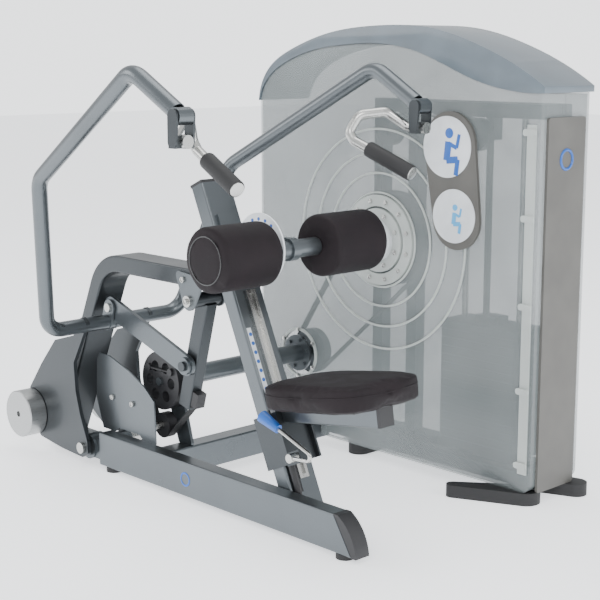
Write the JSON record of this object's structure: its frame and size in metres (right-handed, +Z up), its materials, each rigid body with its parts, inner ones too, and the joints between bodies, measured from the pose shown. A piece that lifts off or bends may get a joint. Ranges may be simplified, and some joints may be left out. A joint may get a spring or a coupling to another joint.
{
  "type": "lat pulldown machine",
  "caption": "Seated lat pulldown machine with swinging overhead arms and handles, roller thigh pads, sliding seat, belt drive and a shrouded weight stack",
  "frame": {"origin": "bottom centre of the whole machine's bounding box, on the floor", "axes": "+X along the base beam from the rear pivot towards the seat end, +Y from the user's station to the weight tower, +Z up"},
  "size_m": [1.542, 1.225, 1.3159],
  "materials": {
    "silver_paint": "satin silver-grey metallic powder coat",
    "stainless": "brushed bright steel",
    "black_plastic": "fine-grained black moulding",
    "black_rubber": "matte black rubber",
    "belt_rubber": "flat woven belt, black",
    "upholstery": "dark aubergine-black vinyl over foam",
    "white_plastic": "white with blue dots",
    "blue_plastic": "blue moulded grip",
    "shroud_plastic": "translucent pale grey moulding",
    "cover_plastic": "grey satin moulding",
    "panel_plastic": "grey textured moulding",
    "cast_iron": "black painted iron plate"
  },
  "bodies": {
    "frame": {"base_beam": "silver_paint", "cross_members": "silver_paint", "frame_end_caps": "black_plastic", "rubber_feet": "black_rubber", "mast": "silver_paint", "gooseneck": "silver_paint", "belt_guard": "silver_paint", "kite_brackets": "silver_paint", "frame_axles": "stainless", "seat_rail": "stainless", "height_scale": "white_plastic", "pad_bracket": "silver_paint", "gas_spring": "black_plastic", "drive_belt": "belt_rubber", "tower_frame": "silver_paint", "guide_rods": "stainless", "shroud_near": "shroud_plastic", "shroud_far": "shroud_plastic", "top_cover": "cover_plastic", "front_panel": "panel_plastic", "shroud_rings": "shroud_plastic", "placard": "panel_plastic", "corner_rack": "shroud_plastic", "lift_belt": "belt_rubber", "lift_strap": "belt_rubber", "resting_plates": "cast_iron", "stack_strap": "belt_rubber"},
    "yoke": {"yoke_tube": "silver_paint", "crank_plate_near": "silver_paint", "crank_plate_far": "silver_paint", "counterweights": "stainless", "yoke_bolts": "stainless"},
    "rocker": {"rocker": "silver_paint", "belt_anchor": "black_plastic", "drive_strap": "belt_rubber"},
    "link": {"link_bar": "silver_paint"},
    "transfer": {"transfer_tube": "silver_paint", "belt_cam": "black_plastic", "cam_adjuster": "black_plastic"},
    "idler": {"idler_pulley": "black_plastic"},
    "drum": {"lift_drum": "black_plastic"},
    "crown_rear": {"crown_pulley_rear": "black_plastic"},
    "crown_front": {"crown_pulley_front": "black_plastic"},
    "stack": {"lifted_plates": "cast_iron"},
    "near_hanger": {"near_hanger": "stainless"},
    "near_handle": {"near_handle": "stainless", "near_grip": "black_rubber"},
    "far_hanger": {"far_hanger": "stainless"},
    "far_handle": {"far_handle": "stainless", "far_grip": "black_rubber"},
    "pad_arm": {"pad_arm": "silver_paint", "index_disc": "white_plastic"},
    "near_roller": {"near_roller": "upholstery"},
    "far_roller": {"far_roller": "upholstery"},
    "seat": {"seat_carriage": "silver_paint", "seat_tube": "silver_paint", "seat_tube_cap": "black_plastic", "seat_pad": "upholstery"},
    "release_lever": {"release_lever": "stainless", "lever_grip": "blue_plastic"}
  },
  "joints": [
    {"name": "yoke_swing", "type": "hinge", "parent": "frame", "child": "yoke", "pos_m": [-0.439, -0.1735, 0.06], "axis": [0, 1, 0], "range_deg": [0, 18]},
    {"name": "rocker_swing", "type": "hinge", "parent": "frame", "child": "rocker", "pos_m": [0.003, -0.1735, 0.562], "axis": [0, 1, 0], "range_deg": [-39.5, 0]},
    {"name": "link_swing", "type": "hinge", "parent": "rocker", "child": "link", "pos_m": [-0.051, -0.1995, 0.365], "axis": [0, 1, 0], "range_deg": [0, 35]},
    {"name": "transfer_spin", "type": "hinge", "parent": "frame", "child": "transfer", "pos_m": [-0.199, -0.1735, 0.29], "axis": [0, 1, 0], "range_deg": [-125.2, 0]},
    {"name": "idler_spin", "type": "hinge", "parent": "frame", "child": "idler", "pos_m": [-0.196, -0.1735, 0.159], "axis": [0, 1, 0], "range_deg": [-294.9, 0]},
    {"name": "drum_spin", "type": "hinge", "parent": "frame", "child": "drum", "pos_m": [0.147, 0.4305, 0.689], "axis": [0, 1, 0], "range_deg": [-62.9, 0]},
    {"name": "crown_rear_spin", "type": "hinge", "parent": "frame", "child": "crown_rear", "pos_m": [0.102, 0.4625, 1.008], "axis": [0, 1, 0], "range_deg": [-125.2, 0]},
    {"name": "crown_front_spin", "type": "hinge", "parent": "frame", "child": "crown_front", "pos_m": [0.436, 0.4625, 1.008], "axis": [0, 1, 0], "range_deg": [-125.2, 0]},
    {"name": "stack_lift", "type": "slide", "parent": "frame", "child": "stack", "axis": [0, 0, 1], "range_m": [0, 0.099], "deforming": ["stack_strap"]},
    {"name": "near_hanger_swing", "type": "hinge", "parent": "yoke", "child": "near_hanger", "pos_m": [0.4306, -0.5845, 1.09603], "axis": [0, 1, 0], "range_deg": [-35, 25]},
    {"name": "near_handle_turn", "type": "hinge", "parent": "near_hanger", "child": "near_handle", "pos_m": [0.4286, -0.5845, 1.03803], "axis": [1, 0, 0], "range_deg": [0, 20]},
    {"name": "far_hanger_swing", "type": "hinge", "parent": "yoke", "child": "far_hanger", "pos_m": [0.4306, 0.2375, 1.09603], "axis": [0, 1, 0], "range_deg": [-35, 25]},
    {"name": "far_handle_turn", "type": "hinge", "parent": "far_hanger", "child": "far_handle", "pos_m": [0.4286, 0.2375, 1.03803], "axis": [1, 0, 0], "range_deg": [-20, 0]},
    {"name": "pad_arm_swing", "type": "hinge", "parent": "frame", "child": "pad_arm", "pos_m": [0.291, -0.1735, 0.74], "axis": [0, 1, 0], "range_deg": [-25, 35]},
    {"name": "near_roller_spin", "type": "hinge", "parent": "pad_arm", "child": "near_roller", "pos_m": [0.356, -0.2735, 0.739], "axis": [0, 1, 0], "continuous": true},
    {"name": "far_roller_spin", "type": "hinge", "parent": "pad_arm", "child": "far_roller", "pos_m": [0.356, -0.0235, 0.739], "axis": [0, 1, 0], "continuous": true},
    {"name": "seat_slide", "type": "slide", "parent": "frame", "child": "seat", "axis": [-0.4099, 0, 0.9121], "range_m": [0, 0.12]},
    {"name": "lever_squeeze", "type": "hinge", "parent": "seat", "child": "release_lever", "pos_m": [0.43858, -0.2535, 0.21366], "axis": [0, 1, 0], "range_deg": [-12, 0], "stiffness_Nm_per_rad": 1.5, "springref_deg": 14.32}
  ],
  "couplings": [
    {"joint": "rocker_swing", "follows": "yoke_swing", "ratio": -2.18},
    {"joint": "link_swing", "follows": "yoke_swing", "ratio": 1.92},
    {"joint": "transfer_spin", "follows": "yoke_swing", "ratio": -6.9279},
    {"joint": "idler_spin", "follows": "yoke_swing", "ratio": -16.358},
    {"joint": "drum_spin", "follows": "yoke_swing", "ratio": -3.464},
    {"joint": "crown_rear_spin", "follows": "yoke_swing", "ratio": -6.9279},
    {"joint": "crown_front_spin", "follows": "yoke_swing", "ratio": -6.9279},
    {"joint": "stack_lift", "follows": "yoke_swing", "m_per_rad": 0.31176}
  ]
}
